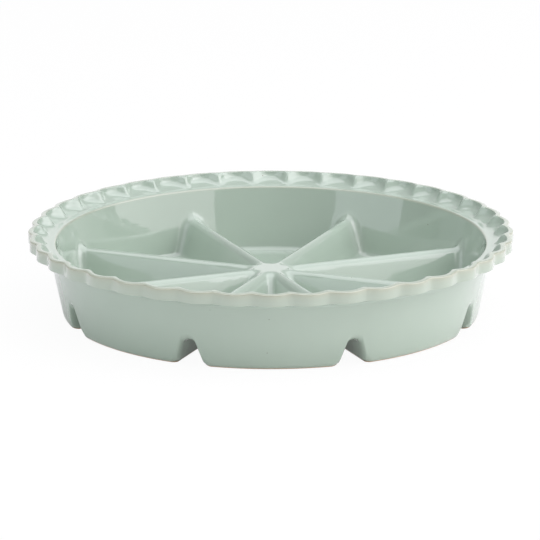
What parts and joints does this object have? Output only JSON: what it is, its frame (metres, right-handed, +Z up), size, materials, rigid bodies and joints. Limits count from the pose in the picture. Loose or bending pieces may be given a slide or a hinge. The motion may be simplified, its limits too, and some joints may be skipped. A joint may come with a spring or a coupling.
{
  "type": "scone pan",
  "caption": "Round glazed stoneware baking pan with wedge pockets between hollow ridges, a sloping notched wall and a crimped flange rim, for baking scones.",
  "frame": {"origin": "middle of the foot, on the table", "axes": "+Z up along the axis of the pan; -Y is the front, through the middle of a pocket"},
  "size_m": [0.29, 0.29, 0.0515],
  "materials": {
    "glaze": "glossy pale sage glaze that breaks to tan on thin edges",
    "bare_clay": "unglazed fired stoneware, dry and matt"
  },
  "bodies": {
    "root": {"crimped_rim": "glaze", "centre_hub": "glaze", "side_wall_1": "glaze", "side_wall_2": "glaze", "side_wall_3": "glaze", "side_wall_4": "glaze", "side_wall_5": "glaze", "side_wall_6": "glaze", "side_wall_7": "glaze", "side_wall_8": "glaze", "divider_1": "glaze", "divider_2": "glaze", "divider_3": "glaze", "divider_4": "glaze", "divider_5": "glaze", "divider_6": "glaze", "divider_7": "glaze", "divider_8": "glaze", "pocket_floor_1": "glaze", "pocket_floor_2": "glaze", "pocket_floor_3": "glaze", "pocket_floor_4": "glaze", "pocket_floor_5": "glaze", "pocket_floor_6": "glaze", "pocket_floor_7": "glaze", "pocket_floor_8": "glaze", "foot_1": "bare_clay", "foot_2": "bare_clay", "foot_3": "bare_clay", "foot_4": "bare_clay", "foot_5": "bare_clay", "foot_6": "bare_clay", "foot_7": "bare_clay", "foot_8": "bare_clay"}
  },
  "joints": []
}
